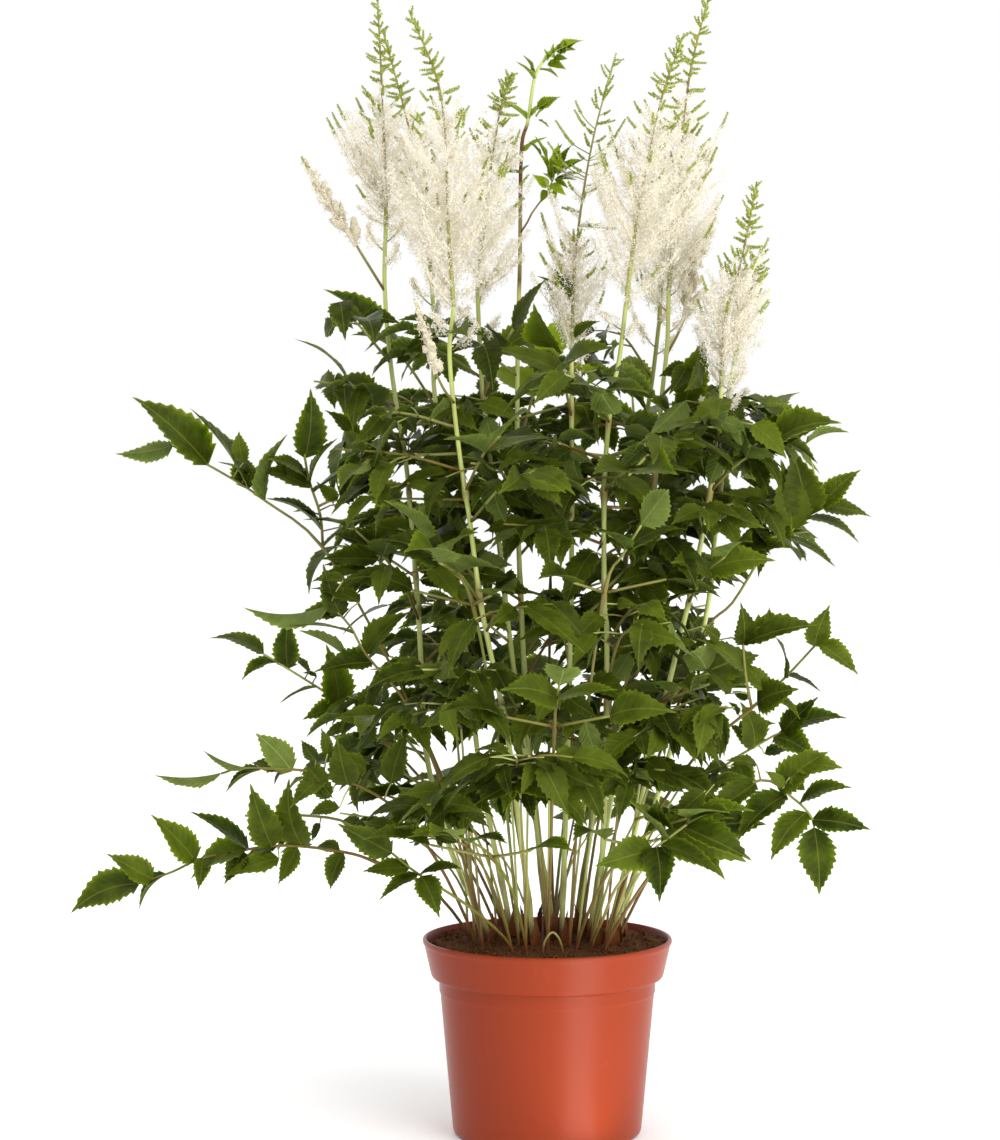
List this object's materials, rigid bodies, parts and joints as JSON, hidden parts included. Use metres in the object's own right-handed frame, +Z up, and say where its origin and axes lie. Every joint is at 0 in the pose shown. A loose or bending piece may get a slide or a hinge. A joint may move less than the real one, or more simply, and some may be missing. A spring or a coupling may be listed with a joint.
{
  "type": "potted astilbe",
  "caption": "Potted astilbe: upright flower stems with feathery cream plumes over toothed compound leaves, in a round nursery pot of peat.",
  "frame": {"origin": "centre of the pot's flat base, on its underside", "axes": "+Z up along the stems, -Y towards the front, +X to the right seen from the front"},
  "size_m": [0.6038, 0.4706, 0.8654],
  "materials": {
    "pot": "satin",
    "soil": "matte",
    "stem": "satin",
    "leaf": "satin",
    "plume": "matte",
    "bud": "matte"
  },
  "bodies": {
    "root": {"pot": "pot", "soil": "soil", "flower_stem_1": "stem", "flower_stem_2": "stem", "flower_stem_3": "stem", "flower_stem_4": "stem", "flower_stem_5": "stem", "flower_stem_6": "stem", "flower_stem_7": "stem", "flower_stem_8": "stem", "flower_stem_9": "stem", "flower_stem_10": "stem", "young_shoot": "stem", "plume_1": "plume", "plume_2": "plume", "plume_3": "plume", "plume_4": "plume", "plume_5": "plume", "plume_6": "plume", "plume_7": "plume", "plume_8": "plume", "plume_9": "plume", "plume_10": "plume", "plume_tip_1": "bud", "plume_tip_2": "bud", "plume_tip_3": "bud", "plume_tip_4": "bud", "plume_tip_5": "bud", "plume_tip_6": "bud", "plume_tip_7": "bud", "plume_tip_9": "bud", "side_spike_1": "plume", "side_spike_2": "plume", "side_spike_3": "plume", "frond_left_high": "leaf", "frond_left_middle": "leaf", "frond_left_low": "leaf", "frond_left_flat": "leaf", "frond_left_long": "leaf", "frond_front_left": "leaf", "frond_right_high": "leaf", "frond_right_middle": "leaf", "frond_right_flat": "leaf", "frond_right_low": "leaf", "frond_front_right": "leaf", "frond_fill_01": "leaf", "frond_fill_02": "leaf", "frond_fill_03": "leaf", "frond_fill_04": "leaf", "frond_fill_05": "leaf", "frond_fill_06": "leaf", "frond_fill_07": "leaf", "frond_fill_08": "leaf", "frond_fill_09": "leaf", "frond_fill_10": "leaf", "frond_fill_11": "leaf"}
  },
  "joints": []
}
